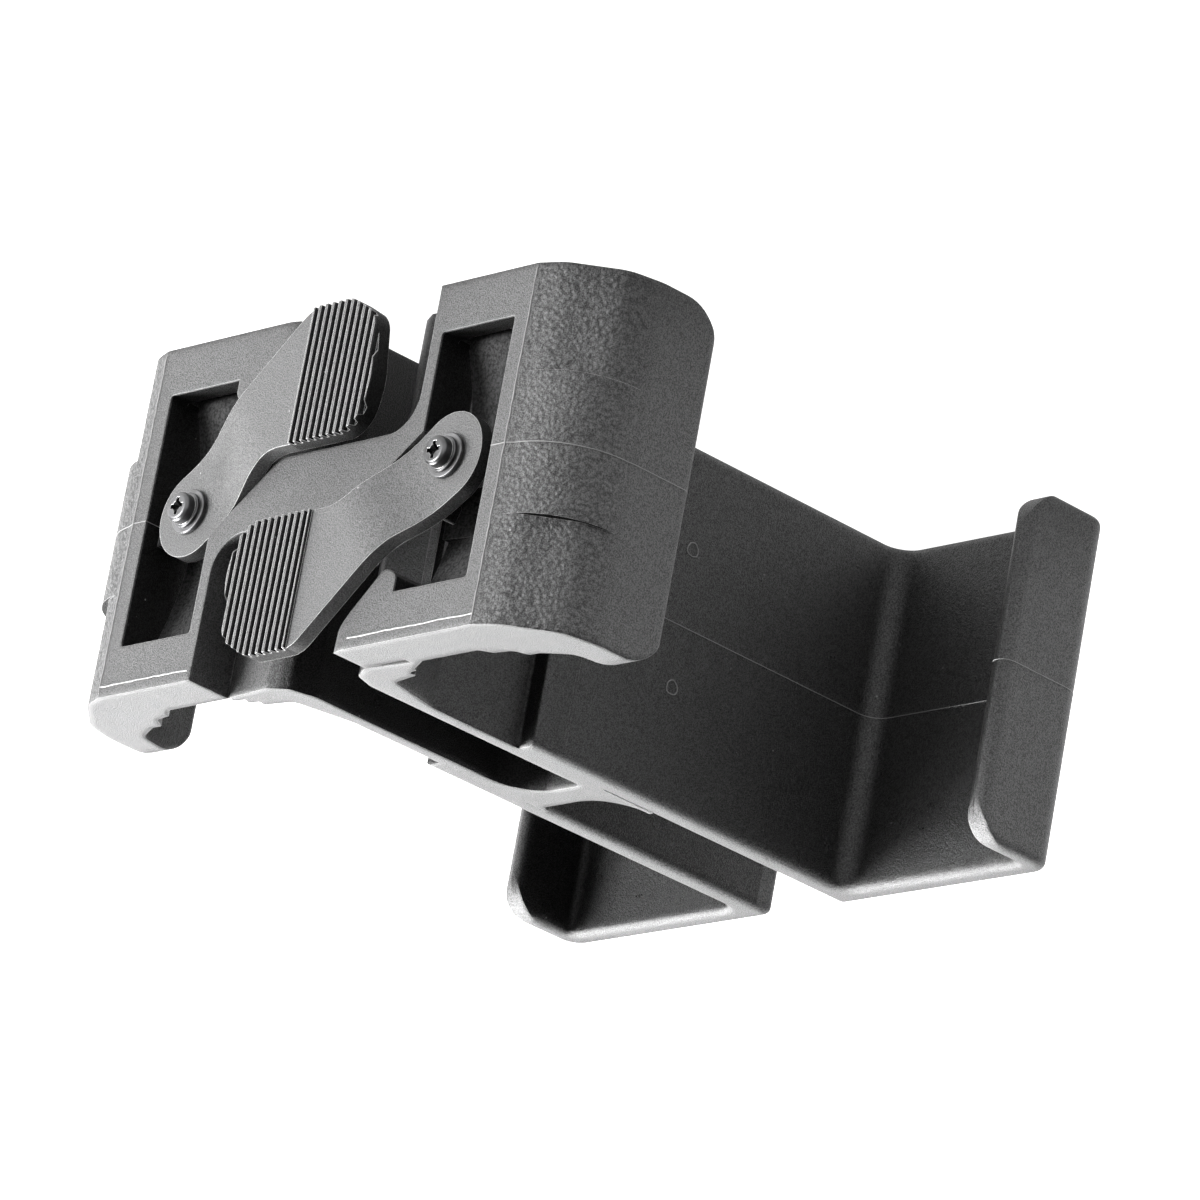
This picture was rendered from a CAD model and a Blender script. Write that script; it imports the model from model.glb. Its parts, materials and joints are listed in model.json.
import json
import math
import random
import bmesh
import bpy
from mathutils import Matrix, Vector


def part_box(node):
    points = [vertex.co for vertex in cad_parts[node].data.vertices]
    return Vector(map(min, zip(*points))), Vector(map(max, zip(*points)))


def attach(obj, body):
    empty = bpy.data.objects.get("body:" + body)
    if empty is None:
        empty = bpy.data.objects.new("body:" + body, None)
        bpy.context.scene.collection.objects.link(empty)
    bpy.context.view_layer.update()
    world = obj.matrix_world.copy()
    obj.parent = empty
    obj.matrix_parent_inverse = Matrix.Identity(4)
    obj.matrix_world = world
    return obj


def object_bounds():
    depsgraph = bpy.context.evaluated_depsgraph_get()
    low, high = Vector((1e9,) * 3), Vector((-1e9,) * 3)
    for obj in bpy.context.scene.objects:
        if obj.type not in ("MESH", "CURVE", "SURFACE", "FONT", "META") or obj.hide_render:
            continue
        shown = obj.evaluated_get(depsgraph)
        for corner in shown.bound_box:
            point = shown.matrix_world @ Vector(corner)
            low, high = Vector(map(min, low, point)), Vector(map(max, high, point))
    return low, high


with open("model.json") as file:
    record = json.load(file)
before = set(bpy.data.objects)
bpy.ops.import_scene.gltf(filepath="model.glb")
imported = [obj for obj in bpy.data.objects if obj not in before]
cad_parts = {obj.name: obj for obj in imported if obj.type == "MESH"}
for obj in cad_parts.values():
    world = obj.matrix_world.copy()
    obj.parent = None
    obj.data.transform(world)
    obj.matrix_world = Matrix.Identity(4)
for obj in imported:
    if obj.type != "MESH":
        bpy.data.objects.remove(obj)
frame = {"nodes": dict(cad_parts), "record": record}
cadLow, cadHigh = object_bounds()
nodes = frame["nodes"]
openings = {o["name"]: [Vector(c) for c in o["box_m"]] for o in frame["record"]["physics"]["openings"]}
random.seed(11)

mm = 0.001
leverEndY = cadLow.y  # ribbed faces of the levers
bodyLow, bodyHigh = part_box("body")
midZ = (bodyLow.z + bodyHigh.z) / 2
faceY = bodyLow.y  # flat face the levers lie on
print("frame loaded:", len(nodes), "nodes")


def wire(tree, value, socket):
    if hasattr(value, "is_output"):
        tree.links.new(value, socket)
    else:
        socket.default_value = value


def sums(tree, operation, first, second=0.0, clamp=False):
    node = tree.nodes.new("ShaderNodeMath")
    node.operation = operation
    node.use_clamp = clamp
    wire(tree, first, node.inputs[0])
    wire(tree, second, node.inputs[1])
    return node.outputs[0]


def fade(tree, value, start, end, low=0.0, high=1.0):
    node = tree.nodes.new("ShaderNodeMapRange")
    node.clamp = True
    wire(tree, value, node.inputs["Value"])
    node.inputs["From Min"].default_value = start
    node.inputs["From Max"].default_value = end
    wire(tree, low, node.inputs["To Min"])
    wire(tree, high, node.inputs["To Max"])
    return node.outputs["Result"]


def noise(tree, place, size, detail=2.0, roughness=0.5):
    node = tree.nodes.new("ShaderNodeTexNoise")
    wire(tree, place, node.inputs["Vector"])
    if hasattr(size, "is_output"):
        scale = sums(tree, "DIVIDE", 1.0, size)
        tree.links.new(scale, node.inputs["Scale"])
    else:
        node.inputs["Scale"].default_value = 1.0 / size
    node.inputs["Detail"].default_value = detail
    node.inputs["Roughness"].default_value = roughness
    return node.outputs["Fac"]


def mixColour(tree, factor, first, second):
    node = tree.nodes.new("ShaderNodeMix")
    node.data_type = "RGBA"
    wire(tree, factor, node.inputs["Factor"])
    wire(tree, first, node.inputs["A"])
    wire(tree, second, node.inputs["B"])
    return node.outputs["Result"]


def newGroup(name, inputs, outputs):
    tree = bpy.data.node_groups.new(name, "ShaderNodeTree")
    for label, kind, value in inputs:
        socket = tree.interface.new_socket(name=label, in_out="INPUT", socket_type=kind)
        socket.default_value = value
    for label, kind in outputs:
        tree.interface.new_socket(name=label, in_out="OUTPUT", socket_type=kind)
    return tree, tree.nodes.new("NodeGroupInput").outputs, tree.nodes.new("NodeGroupOutput").inputs


def useGroup(tree, group, **values):
    node = tree.nodes.new("ShaderNodeGroup")
    node.node_tree = group
    for label, value in values.items():
        wire(tree, value, node.inputs[label])
    return node.outputs


def greys(level, tint=0.0):
    return (level, level, level * (1 + tint), 1.0)


grainLook = {
    "fine": (3.0, 0.65), "cloud": (0.006, 4.0, 0.6), "streak": (0.0015, 2.0, 0.5),  # size, detail, roughness
    "cloudShare": 0.6, "streakShare": 0.4, "dipLevel": 0.4, "dipTone": 0.12, "pitDark": 0.25,
    "toneSpan": (0.35, 0.65), "pitSpan": (0.38, 0.60), "shineSpan": (0.38, 0.62), "roughSpan": (0.3, 0.7),
    "shadeDull": 0.8, "rubGloss": 0.06,
}


def makeSparkGrain():  # spark-eroded mould finish: fine pits, and a coarser hide grain where asked for
    tree, given, out = newGroup("sparkGrain", [
        ("FineSize", "NodeSocketFloat", 0.0002),
        ("CoarseSize", "NodeSocketFloat", 0.0007),
        ("Coarse", "NodeSocketFloat", 0.0),
    ], [("Height", "NodeSocketFloat"), ("Tone", "NodeSocketFloat"), ("Speckle", "NodeSocketFloat")])
    place = tree.nodes.new("ShaderNodeTexCoord").outputs["Object"]
    fine = noise(tree, place, given["FineSize"], *grainLook["fine"])
    cells = tree.nodes.new("ShaderNodeTexVoronoi")
    cells.feature = "SMOOTH_F1"
    wire(tree, place, cells.inputs["Vector"])
    wire(tree, sums(tree, "DIVIDE", 1.0, given["CoarseSize"]), cells.inputs["Scale"])
    dips = sums(tree, "SUBTRACT", cells.outputs["Distance"], grainLook["dipLevel"])
    dips = sums(tree, "MULTIPLY", dips, given["Coarse"])
    wire(tree, sums(tree, "SUBTRACT", fine, dips), out["Height"])
    toneDips = sums(tree, "MULTIPLY", dips, grainLook["dipTone"])
    wire(tree, sums(tree, "SUBTRACT", fine, toneDips), out["Speckle"])
    cloud = sums(tree, "MULTIPLY", noise(tree, place, *grainLook["cloud"]), grainLook["cloudShare"])
    streak = sums(tree, "MULTIPLY", noise(tree, place, *grainLook["streak"]), grainLook["streakShare"])
    wire(tree, sums(tree, "ADD", cloud, streak), out["Tone"])
    return tree


edgeLook = {"wideSamples": 8, "narrowSamples": 6, "wearSpan": 0.12}


def makeSoftEdges():  # small rounding of every edge, and a mask of where the edges are
    tree, given, out = newGroup("softEdges", [
        ("Radius", "NodeSocketFloat", 0.0003),
        ("LineRadius", "NodeSocketFloat", 0.00013),
        ("WearStart", "NodeSocketFloat", 0.03),
    ], [("Normal", "NodeSocketVector"), ("Edge", "NodeSocketFloat")])
    wide = tree.nodes.new("ShaderNodeBevel")
    wide.samples = edgeLook["wideSamples"]
    wire(tree, given["Radius"], wide.inputs["Radius"])
    narrow = tree.nodes.new("ShaderNodeBevel")
    narrow.samples = edgeLook["narrowSamples"]
    wire(tree, given["LineRadius"], narrow.inputs["Radius"])
    flat = tree.nodes.new("ShaderNodeNewGeometry")
    dot = tree.nodes.new("ShaderNodeVectorMath")
    dot.operation = "DOT_PRODUCT"
    tree.links.new(narrow.outputs["Normal"], dot.inputs[0])
    tree.links.new(flat.outputs["Normal"], dot.inputs[1])
    turned = sums(tree, "SUBTRACT", 1.0, dot.outputs["Value"])
    past = sums(tree, "SUBTRACT", turned, given["WearStart"])
    worn = sums(tree, "DIVIDE", past, edgeLook["wearSpan"], clamp=True)
    wire(tree, wide.outputs["Normal"], out["Normal"])
    wire(tree, worn, out["Edge"])
    return tree


dustLook = {
    "perMetre": 700.0, "dotSpan": (0.05, 0.09), "patch": (0.004, 1.0), "patchSpan": (0.60, 0.66),
    "rubScale": (1.0, 1.0, 9.0), "rubTurn": (0.5, 0.3, 0.2),
    "rub": (0.003, 3.0, 0.6), "rubSpan": (0.58, 0.75),
}


def makeDust():  # sparse pale specks and a few faint rub marks
    tree, given, out = newGroup("dust", [
        ("Amount", "NodeSocketFloat", 0.5),
    ], [("Specks", "NodeSocketFloat"), ("Rubs", "NodeSocketFloat")])
    place = tree.nodes.new("ShaderNodeTexCoord").outputs["Object"]
    seeds = tree.nodes.new("ShaderNodeTexVoronoi")
    wire(tree, place, seeds.inputs["Vector"])
    seeds.inputs["Scale"].default_value = dustLook["perMetre"]
    dots = fade(tree, seeds.outputs["Distance"], *dustLook["dotSpan"], 1.0, 0.0)
    few = fade(tree, noise(tree, place, *dustLook["patch"]), *dustLook["patchSpan"])
    wire(tree, sums(tree, "MULTIPLY", sums(tree, "MULTIPLY", dots, few), given["Amount"]), out["Specks"])
    stretch = tree.nodes.new("ShaderNodeMapping")
    wire(tree, place, stretch.inputs["Vector"])
    stretch.inputs["Scale"].default_value = dustLook["rubScale"]
    stretch.inputs["Rotation"].default_value = dustLook["rubTurn"]
    rub = fade(tree, noise(tree, stretch.outputs["Vector"], *dustLook["rub"]), *dustLook["rubSpan"])
    wire(tree, sums(tree, "MULTIPLY", rub, given["Amount"]), out["Rubs"])
    return tree


effects = {"grain": makeSparkGrain(), "edges": makeSoftEdges(), "dust": makeDust()}
print("shader groups made:", len(effects))


def newMaterial(name, **constants):
    material = bpy.data.materials.new(name)
    material.use_nodes = True
    tree = material.node_tree
    shader = tree.nodes["Principled BSDF"]
    for label, value in constants.items():
        shader.inputs[label.replace("_", " ")].default_value = value
    return material, tree, shader


def plasticLook(tree, shader, look, coarse=0.0, gloss=0.0, shade=0.0, radius=None):
    grain = useGroup(tree, effects["grain"], FineSize=look["fineSize"], CoarseSize=look["coarseSize"],
                     Coarse=coarse)
    edges = useGroup(tree, effects["edges"], Radius=look["edgeRadius"] if radius is None else radius,
                     LineRadius=look["lineRadius"], WearStart=look["wearStart"])
    dust = useGroup(tree, effects["dust"], Amount=look["dust"])
    tone = fade(tree, grain["Tone"], *grainLook["toneSpan"])
    colour = mixColour(tree, tone, greys(look["dark"]), greys(look["light"], 0.02))
    pits = fade(tree, grain["Speckle"], *grainLook["pitSpan"], look["speckle"], 0.0)
    colour = mixColour(tree, pits, colour, greys(look["dark"] * grainLook["pitDark"]))
    colour = mixColour(tree, gloss, colour, greys(look["inside"]))
    colour = mixColour(tree, shade, colour, greys(look["shaded"]))
    worn = sums(tree, "MULTIPLY", edges["Edge"], look["wear"])
    colour = mixColour(tree, worn, colour, greys(look["worn"]))
    colour = mixColour(tree, dust["Specks"], colour, greys(look["speck"]))
    wire(tree, colour, shader.inputs["Base Color"])
    shine = fade(tree, grain["Speckle"], *grainLook["shineSpan"], look["shineLow"], look["shineHigh"])
    dulled = sums(tree, "MULTIPLY", shade, grainLook["shadeDull"])
    shine = sums(tree, "MULTIPLY", shine, sums(tree, "SUBTRACT", 1.0, dulled))
    wire(tree, shine, shader.inputs["Specular IOR Level"])
    rough = fade(tree, grain["Tone"], *grainLook["roughSpan"], look["roughLow"], look["roughHigh"])
    rough = sums(tree, "SUBTRACT", rough, sums(tree, "MULTIPLY", gloss, look["glossGain"]))
    rough = sums(tree, "SUBTRACT", rough, sums(tree, "MULTIPLY", dust["Rubs"], grainLook["rubGloss"]))
    wire(tree, rough, shader.inputs["Roughness"])
    bump = tree.nodes.new("ShaderNodeBump")
    bump.inputs["Distance"].default_value = look["bumpDepth"]
    bump.inputs["Strength"].default_value = look["bump"]
    wire(tree, grain["Height"], bump.inputs["Height"])
    wire(tree, edges["Normal"], bump.inputs["Normal"])
    wire(tree, bump.outputs["Normal"], shader.inputs["Normal"])


def inBand(tree, value, low, high, soft=0.1 * mm):  # 1 between low and high, 0 outside
    rise = fade(tree, value, low - soft, low)
    return sums(tree, "MULTIPLY", rise, fade(tree, value, high, high + soft, 1.0, 0.0))


bodyLook = {
    "dark": 0.023, "light": 0.033, "inside": 0.004, "shaded": 0.003,
    "worn": 0.30, "wear": 0.60, "wearStart": 0.03,
    "fineSize": 0.00015, "coarseSize": 0.00045, "bump": 1.0, "bumpDepth": 0.00011, "speckle": 0.50,
    "shineLow": 0.20, "shineHigh": 0.80, "roughLow": 0.50, "roughHigh": 0.62, "glossGain": 0.24,
    "edgeRadius": 0.00040, "rimRadius": 0.0011, "lineRadius": 0.00012, "dust": 0.35, "speck": 0.30,
    "shoulderX": 28.5 * mm, "shoulderEnd": 7.0 * mm, "shoulderFade": 3.0 * mm, "coarse": 2.2,
    "insideStart": 5.2 * mm, "pastLip": 3.0 * mm, "pastFar": 0.8 * mm,
    "channelShade": 0.75, "shadeFade": 1.0 * mm,
    "windowX": (15.3 * mm, 26.3 * mm), "windowY": (0.3 * mm, 9.0 * mm), "windowHalf": 14.0 * mm,
    "padHalf": 7.6 * mm, "padLine": 0.05 * mm, "padReach": 9.0 * mm,
    "rimStart": 1.6 * mm, "rimFull": 1.1 * mm, "soft": 0.3 * mm, "crisp": 0.2 * mm, "line": 0.1 * mm,
    "outwardSpan": (0.02, 0.1), "levelSpan": (0.3, 0.6), "frontSpan": (-0.8, -0.5),
}


def bodyPlastic():
    look = bodyLook
    material, tree, shader = newMaterial("bodyPlastic", IOR=1.5)
    coords = tree.nodes.new("ShaderNodeTexCoord")
    place = tree.nodes.new("ShaderNodeSeparateXYZ")
    tree.links.new(coords.outputs["Object"], place.inputs[0])
    facing = tree.nodes.new("ShaderNodeSeparateXYZ")
    tree.links.new(coords.outputs["Normal"], facing.inputs[0])
    across = sums(tree, "ABSOLUTE", place.outputs["X"])
    along = sums(tree, "SUBTRACT", place.outputs["Y"], faceY)
    sideways = sums(tree, "MULTIPLY", sums(tree, "SIGN", place.outputs["X"]), facing.outputs["X"])
    outward = fade(tree, sums(tree, "SUBTRACT", sideways, facing.outputs["Y"]), *look["outwardSpan"])
    pastFace = fade(tree, across, look["shoulderX"], look["shoulderX"] + look["soft"])
    beforeLip = fade(tree, along, look["shoulderEnd"], look["shoulderEnd"] + look["shoulderFade"], 1.0, 0.0)
    shoulder = sums(tree, "MULTIPLY", sums(tree, "MULTIPLY", pastFace, beforeLip), outward)
    channelHigh = openings["channel_a"][1]
    lipX = channelHigh.x + look["pastLip"]
    farY = channelHigh.y - faceY + look["pastFar"]
    level = fade(tree, sums(tree, "ABSOLUTE", facing.outputs["Z"]), *look["levelSpan"], 1.0, 0.0)
    boxed = sums(tree, "MULTIPLY", level, fade(tree, across, lipX, lipX + look["crisp"], 1.0, 0.0))
    pastWall = fade(tree, along, look["insideStart"], look["insideStart"] + look["soft"])
    reach = sums(tree, "MULTIPLY", pastWall, fade(tree, along, farY, farY + look["crisp"], 1.0, 0.0))
    inside = sums(tree, "MULTIPLY", boxed, reach)
    inside = sums(tree, "MULTIPLY", inside, sums(tree, "SUBTRACT", 1.0, shoulder))
    offMiddle = sums(tree, "ABSOLUTE", sums(tree, "SUBTRACT", place.outputs["Z"], midZ))
    short = fade(tree, offMiddle, look["windowHalf"], look["windowHalf"] + look["line"], 1.0, 0.0)
    window = sums(tree, "MULTIPLY", inBand(tree, across, *look["windowX"]), short)
    window = sums(tree, "MULTIPLY", window, fade(tree, facing.outputs["Y"], *look["frontSpan"]))
    window = sums(tree, "MULTIPLY", window, inBand(tree, along, *look["windowY"]))
    sheltered = fade(tree, place.outputs["X"], 0.0, look["shadeFade"], 0.0, look["channelShade"])
    shade = sums(tree, "MAXIMUM", window, sums(tree, "MULTIPLY", inside, sheltered))
    padEnd = inBand(tree, offMiddle, look["padHalf"] - look["padLine"], look["padHalf"] + look["padLine"])
    padEnd = sums(tree, "MULTIPLY", padEnd, sums(tree, "SUBTRACT", 1.0, level))
    beforePad = fade(tree, along, look["padReach"], look["padReach"] + look["soft"], 1.0, 0.0)
    shade = sums(tree, "MAXIMUM", shade, sums(tree, "MULTIPLY", padEnd, beforePad))
    halfHeight = (bodyHigh.z - bodyLow.z) / 2
    radius = fade(tree, offMiddle, halfHeight - look["rimStart"], halfHeight - look["rimFull"],
                  look["edgeRadius"], look["rimRadius"])
    plasticLook(tree, shader, look, coarse=sums(tree, "MULTIPLY", shoulder, look["coarse"]), gloss=inside,
                shade=shade, radius=radius)
    return material


leverLook = {
    "dark": 0.026, "light": 0.037, "inside": 0.02, "shaded": 0.004,
    "worn": 0.55, "wear": 0.85, "wearStart": 0.02,
    "fineSize": 0.00016, "coarseSize": 0.0006, "bump": 1.0, "bumpDepth": 0.00009, "speckle": 0.40,
    "shineLow": 0.25, "shineHigh": 0.80, "roughLow": 0.46, "roughHigh": 0.60, "glossGain": 0.0,
    "edgeRadius": 0.00030, "lineRadius": 0.00010, "dust": 0.5, "speck": 0.35,
    "ribStart": -10.0 * mm, "ribEnd": 2.9 * mm, "ribDepth": 0.12 * mm,
    "sideShade": 0.75, "sideSpan": (0.3, 0.6), "coarse": 0.15,
}


def leverPlastic():
    look = leverLook
    material, tree, shader = newMaterial("leverPlastic", IOR=1.5)
    coords = tree.nodes.new("ShaderNodeTexCoord")
    place = tree.nodes.new("ShaderNodeSeparateXYZ")
    tree.links.new(coords.outputs["Object"], place.inputs[0])
    facing = tree.nodes.new("ShaderNodeSeparateXYZ")
    tree.links.new(coords.outputs["Normal"], facing.inputs[0])
    flatness = sums(tree, "ABSOLUTE", facing.outputs["Y"])
    side = fade(tree, flatness, *look["sideSpan"], look["sideShade"], 0.0)
    hand = sums(tree, "SIGN", sums(tree, "SUBTRACT", midZ, place.outputs["Z"]))
    ribX = sums(tree, "MULTIPLY", place.outputs["X"], hand)
    ribbed = inBand(tree, ribX, look["ribStart"], look["ribEnd"])
    sunk = fade(tree, place.outputs["Y"], leverEndY + look["ribDepth"], leverEndY + 2 * look["ribDepth"])
    grooves = sums(tree, "MULTIPLY", ribbed, sunk)
    plasticLook(tree, shader, look, coarse=look["coarse"], shade=sums(tree, "MAXIMUM", side, grooves))
    return material


leafLook = {
    "dark": 0.016, "light": 0.024, "inside": 0.012, "shaded": 0.004,
    "worn": 0.12, "wear": 0.5, "wearStart": 0.03,
    "fineSize": 0.0003, "coarseSize": 0.0007, "bump": 0.6, "bumpDepth": 0.00008, "speckle": 0.40,
    "shineLow": 0.02, "shineHigh": 0.22, "roughLow": 0.66, "roughHigh": 0.78, "glossGain": 0.0,
    "edgeRadius": 0.00020, "lineRadius": 0.00010, "dust": 0.25, "speck": 0.25,
}


def leafPlastic():
    material, tree, shader = newMaterial("leafPlastic", IOR=1.5)
    plasticLook(tree, shader, leafLook)
    return material


steelLook = {
    "screw": {"dark": 0.045, "light": 0.09, "worn": 0.45, "wear": 0.7, "rough": 0.30},
    "washer": {"dark": 0.06, "light": 0.11, "worn": 0.40, "wear": 0.6, "rough": 0.36},
}


steelCoat = {
    "fineSize": 0.00012, "coarseSize": 0.0005, "edgeRadius": 0.00010, "lineRadius": 0.00008,
    "wearStart": 0.01, "dust": 0.3, "roughRange": 0.12, "rubRough": 0.1, "bumpDepth": 0.00002, "bump": 0.5,
}


def blackSteel(name):
    look = {**steelCoat, **steelLook[name]}
    material, tree, shader = newMaterial(name + "Steel", Metallic=1.0)
    grain = useGroup(tree, effects["grain"], FineSize=look["fineSize"], CoarseSize=look["coarseSize"],
                     Coarse=0.0)
    edges = useGroup(tree, effects["edges"], Radius=look["edgeRadius"], LineRadius=look["lineRadius"],
                     WearStart=look["wearStart"])
    dust = useGroup(tree, effects["dust"], Amount=look["dust"])
    tone = fade(tree, grain["Tone"], *grainLook["toneSpan"])
    colour = mixColour(tree, tone, greys(look["dark"]), greys(look["light"], 0.03))
    worn = sums(tree, "MULTIPLY", edges["Edge"], look["wear"])
    colour = mixColour(tree, worn, colour, greys(look["worn"]))
    wire(tree, colour, shader.inputs["Base Color"])
    rough = fade(tree, grain["Tone"], *grainLook["roughSpan"], look["rough"],
                 look["rough"] + look["roughRange"])
    rough = sums(tree, "ADD", rough, sums(tree, "MULTIPLY", dust["Rubs"], look["rubRough"]))
    wire(tree, rough, shader.inputs["Roughness"])
    bump = tree.nodes.new("ShaderNodeBump")
    bump.inputs["Distance"].default_value = look["bumpDepth"]
    bump.inputs["Strength"].default_value = look["bump"]
    wire(tree, grain["Height"], bump.inputs["Height"])
    wire(tree, edges["Normal"], bump.inputs["Normal"])
    wire(tree, bump.outputs["Normal"], shader.inputs["Normal"])
    return material


flashLook = {"grey": 0.12, "rough": 0.50}


def flashPlastic():  # paler where the flash has been trimmed
    material, tree, shader = newMaterial("flashPlastic", IOR=1.5, Roughness=flashLook["rough"])
    shader.inputs["Base Color"].default_value = greys(flashLook["grey"])
    return material


finishes = {
    "flash": flashPlastic(), "body": bodyPlastic(), "lever": leverPlastic(), "leaf": leafPlastic(),
    "screw": blackSteel("screw"), "washer": blackSteel("washer"),
}
for name, piece in nodes.items():
    piece.data.materials.clear()
    piece.data.materials.append(finishes[name.split("_")[0]])
print("materials on:", ", ".join(sorted(nodes)))


seam = {"radius": 0.055 * mm, "lift": 0.02 * mm, "weld": 1e-6, "jawX": 26.0 * mm, "underFloor": 3.2 * mm}


def partingRidge():  # thin ridge where the mould halves met, at mid height on the jaws and channels
    cut = bmesh.new()
    cut.from_mesh(nodes["body"].data)
    bmesh.ops.remove_doubles(cut, verts=cut.verts, dist=seam["weld"])
    height = midZ + seam["lift"]
    everything = cut.verts[:] + cut.edges[:] + cut.faces[:]
    bmesh.ops.bisect_plane(cut, geom=everything, plane_co=(0, 0, height), plane_no=(0, 0, 1),
                           clear_inner=True, clear_outer=True)
    channelLow = openings["channel_a"][0]

    def kept(edge):
        middle = (edge.verts[0].co + edge.verts[1].co) / 2
        onJaw = abs(middle.x) > seam["jawX"]
        onChannel = middle.y > channelLow.y and abs(middle.x) > channelLow.x - seam["underFloor"]
        return onJaw or onChannel

    bmesh.ops.delete(cut, geom=[e for e in cut.edges if not kept(e)], context="EDGES")
    mesh = bpy.data.meshes.new("partingRidge")
    cut.to_mesh(mesh)
    cut.free()
    ridge = bpy.data.objects.new("partingRidge", mesh)
    bpy.context.scene.collection.objects.link(ridge)
    bpy.ops.object.select_all(action="DESELECT")
    bpy.context.view_layer.objects.active = ridge
    ridge.select_set(True)
    bpy.ops.object.convert(target="CURVE")
    ridge.data.bevel_depth = seam["radius"]
    ridge.data.bevel_resolution = 1
    bpy.ops.object.convert(target="MESH")
    ridge.data.materials.clear()
    ridge.data.materials.append(finishes["flash"])
    ridge.select_set(False)
    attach(ridge, "frame")


partingRidge()


ejector = {
    "radius": 0.75 * mm, "rise": 0.07 * mm, "wall": 0.16 * mm, "steps": 28,
    "profile": [(-1.0, -0.4), (-0.5, 1.0), (0.5, 1.0), (1.0, -0.4)],  # across the wall, up the rise
    "wave": 0.06, "waves": 3, "phase": 900, "jitter": 0.03, "lowest": 0.55, "floorGap": 0.4 * mm,
    "spots": {"upper": (43.6, 8.3), "lower": (44.1, -6.7)},  # mm from the lever face, mm above mid height
}


def ejectorMark(name, spot, outward):  # uneven ring left by an ejector pin on a channel floor
    ring = bmesh.new()
    rows = []
    for i in range(ejector["steps"]):
        turn = 2 * math.pi * i / ejector["steps"]
        wobble = 1 + ejector["wave"] * math.sin(ejector["waves"] * turn + spot.y * ejector["phase"])
        wobble += random.uniform(-ejector["jitter"], ejector["jitter"])
        lift = ejector["rise"] * random.uniform(ejector["lowest"], 1.0)
        row = []
        for reach, height in ejector["profile"]:
            r = ejector["radius"] * wobble + reach * ejector["wall"] / 2
            x = spot.x + outward * height * lift
            row.append(ring.verts.new((x, spot.y + r * math.cos(turn), spot.z + r * math.sin(turn))))
        rows.append(row)
    for i, row in enumerate(rows):
        ahead = rows[(i + 1) % len(rows)]
        for j in range(len(row)):
            k = (j + 1) % len(row)
            ring.faces.new((row[j], row[k], ahead[k], ahead[j]))
    bmesh.ops.recalc_face_normals(ring, faces=ring.faces)
    mesh = bpy.data.meshes.new(name)
    ring.to_mesh(mesh)
    ring.free()
    mark = bpy.data.objects.new(name, mesh)
    bpy.context.scene.collection.objects.link(mark)
    mark.data.materials.append(finishes["flash"])
    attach(mark, "frame")


floorX = openings["channel_a"][0].x - ejector["floorGap"]
for tag, (along, up) in ejector["spots"].items():
    for side, sign in (("a", 1), ("b", -1)):
        spot = Vector((sign * floorX, faceY + along * mm, midZ + sign * up * mm))
        ejectorMark("ejectorMark_" + tag + "_" + side, spot, sign)


flash = {
    "radius": 0.10 * mm, "thinnest": 0.6, "wobble": 0.05 * mm, "step": 0.7 * mm, "sides": 6,
    "faceX": 28.2 * mm, "fromEnd": 0.5 * mm, "fromRim": 1.2 * mm,
    "rimStart": {"a": 14.6 * mm, "b": 9.8 * mm},
}


def flashLine(name, start, end):  # thin uneven line of flash on the lever-end face
    count = max(3, round((end - start).length / flash["step"]))
    way = (end - start).normalized()
    out = Vector((0, -1, 0))
    tangent = way.cross(out)
    tube = bmesh.new()
    rows = []
    for i in range(count + 1):
        at = start.lerp(end, i / count) + tangent * random.uniform(-1, 1) * flash["wobble"]
        r = flash["radius"] * random.uniform(flash["thinnest"], 1.0)
        row = []
        for j in range(flash["sides"]):
            turn = 2 * math.pi * j / flash["sides"]
            row.append(tube.verts.new(at + tangent * r * math.cos(turn) + out * r * math.sin(turn)))
        rows.append(row)
    for row, ahead in zip(rows, rows[1:]):
        for j in range(len(row)):
            k = (j + 1) % len(row)
            tube.faces.new((row[j], row[k], ahead[k], ahead[j]))
    for cap in (rows[0], rows[-1]):
        tube.faces.new(cap)
    bmesh.ops.recalc_face_normals(tube, faces=tube.faces)
    mesh = bpy.data.meshes.new(name)
    tube.to_mesh(mesh)
    tube.free()
    line = bpy.data.objects.new(name, mesh)
    bpy.context.scene.collection.objects.link(line)
    line.data.materials.append(finishes["flash"])
    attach(line, "frame")


for side, sign in (("a", 1), ("b", -1)):
    edgeX = sign * flash["faceX"]
    lowEnd = Vector((edgeX, faceY, bodyLow.z + flash["fromEnd"]))
    highEnd = Vector((edgeX, faceY, bodyHigh.z - flash["fromEnd"]))
    flashLine("flashEdge_" + side, lowEnd, highEnd)
    rimZ = bodyHigh.z - flash["fromRim"]
    innerX = sign * flash["rimStart"][side]
    flashLine("flashRim_" + side, Vector((innerX, faceY, rimZ)), Vector((edgeX, faceY, rimZ)))
print("moulding marks made")


stageLook = {"size": 6.0, "paint": 0.20, "glow": 1.15}


def makeFloor():
    size = stageLook["size"]
    sheet = bmesh.new()
    corners = []
    for x, y in ((-1, -1), (1, -1), (1, 1), (-1, 1)):
        corners.append(sheet.verts.new((x * size, y * size, bodyLow.z)))
    sheet.faces.new(corners)
    mesh = bpy.data.meshes.new("studioFloor")
    sheet.to_mesh(mesh)
    sheet.free()
    floor = bpy.data.objects.new("studioFloor", mesh)
    bpy.context.scene.collection.objects.link(floor)
    material, tree, shader = newMaterial("floorPaint", Roughness=0.9, Specular_IOR_Level=0.1)
    shader.inputs["Base Color"].default_value = greys(stageLook["paint"])
    shader.inputs["Emission Color"].default_value = greys(1.0)
    shader.inputs["Emission Strength"].default_value = stageLook["glow"]
    floor.data.materials.append(material)


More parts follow.
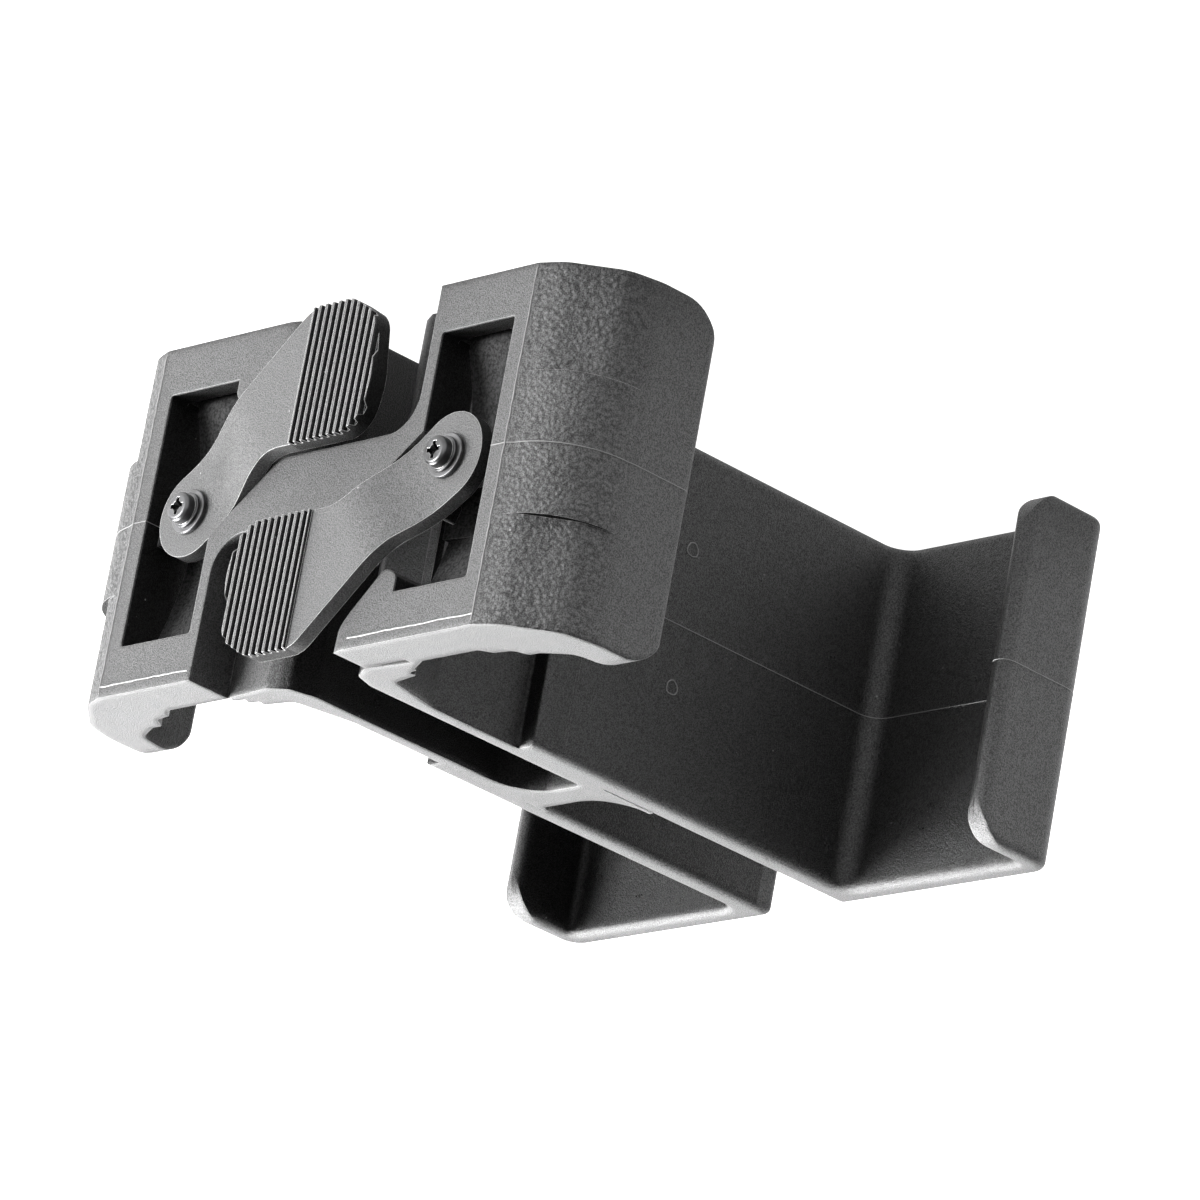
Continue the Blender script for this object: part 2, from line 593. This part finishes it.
lamps = {
    "top": {"spot": (0.50, -0.05, 0.60), "size": 0.45, "power": 52.0},
    "front": {"spot": (0.45, -0.75, 0.12), "size": 0.45, "power": 28.0},
    "side": {"spot": (-0.60, -0.55, 0.10), "size": 0.4, "power": 1.2},
    "back": {"spot": (0.10, 0.80, 0.30), "size": 0.5, "power": 5.0},
}
room = {"light": 0.34, "backdrop": 1.0}


def makeLamps():
    middle = (cadLow + cadHigh) / 2
    for name, lamp in lamps.items():
        data = bpy.data.lights.new(name, "AREA")
        data.shape = "DISK"
        data.size = lamp["size"]
        data.energy = lamp["power"]
        light = bpy.data.objects.new(name, data)
        light.location = lamp["spot"]
        light.rotation_euler = (middle - light.location).to_track_quat("-Z", "Y").to_euler()
        bpy.context.scene.collection.objects.link(light)
    world = bpy.data.worlds.new("softRoom")
    world.use_nodes = True
    tree = world.node_tree
    seen = tree.nodes.new("ShaderNodeLightPath").outputs["Is Camera Ray"]
    strength = fade(tree, seen, 0.0, 1.0, room["light"], room["backdrop"])
    sky = tree.nodes["Background"]
    sky.inputs["Color"].default_value = greys(1.0)
    wire(tree, strength, sky.inputs["Strength"])
    bpy.context.scene.world = world


eye = {
    "azimuth": -49.8, "elevation": 19.56, "roll": -169.6, "distance": 0.8916, "lens": 267.5,
    "aim": (-0.0178, -0.0123, 0.0251), "sensor": 36.0, "near": 0.01,
}


def makeCamera():
    data = bpy.data.cameras.new("eye")
    data.lens = eye["lens"]
    data.sensor_width = eye["sensor"]
    data.clip_start = eye["near"]
    camera = bpy.data.objects.new("eye", data)
    turn = Matrix.Rotation(math.radians(eye["azimuth"]), 4, "Z")
    turn = turn @ Matrix.Rotation(math.radians(90 - eye["elevation"]), 4, "X")
    turn = turn @ Matrix.Rotation(math.radians(eye["roll"]), 4, "Z")
    back = turn @ Vector((0, 0, 1))
    camera.matrix_world = Matrix.Translation(Vector(eye["aim"]) + back * eye["distance"]) @ turn
    bpy.context.scene.collection.objects.link(camera)
    bpy.context.scene.camera = camera


makeFloor()
makeLamps()
makeCamera()
bpy.context.scene.view_settings.view_transform = "Standard"
print("stage ready")
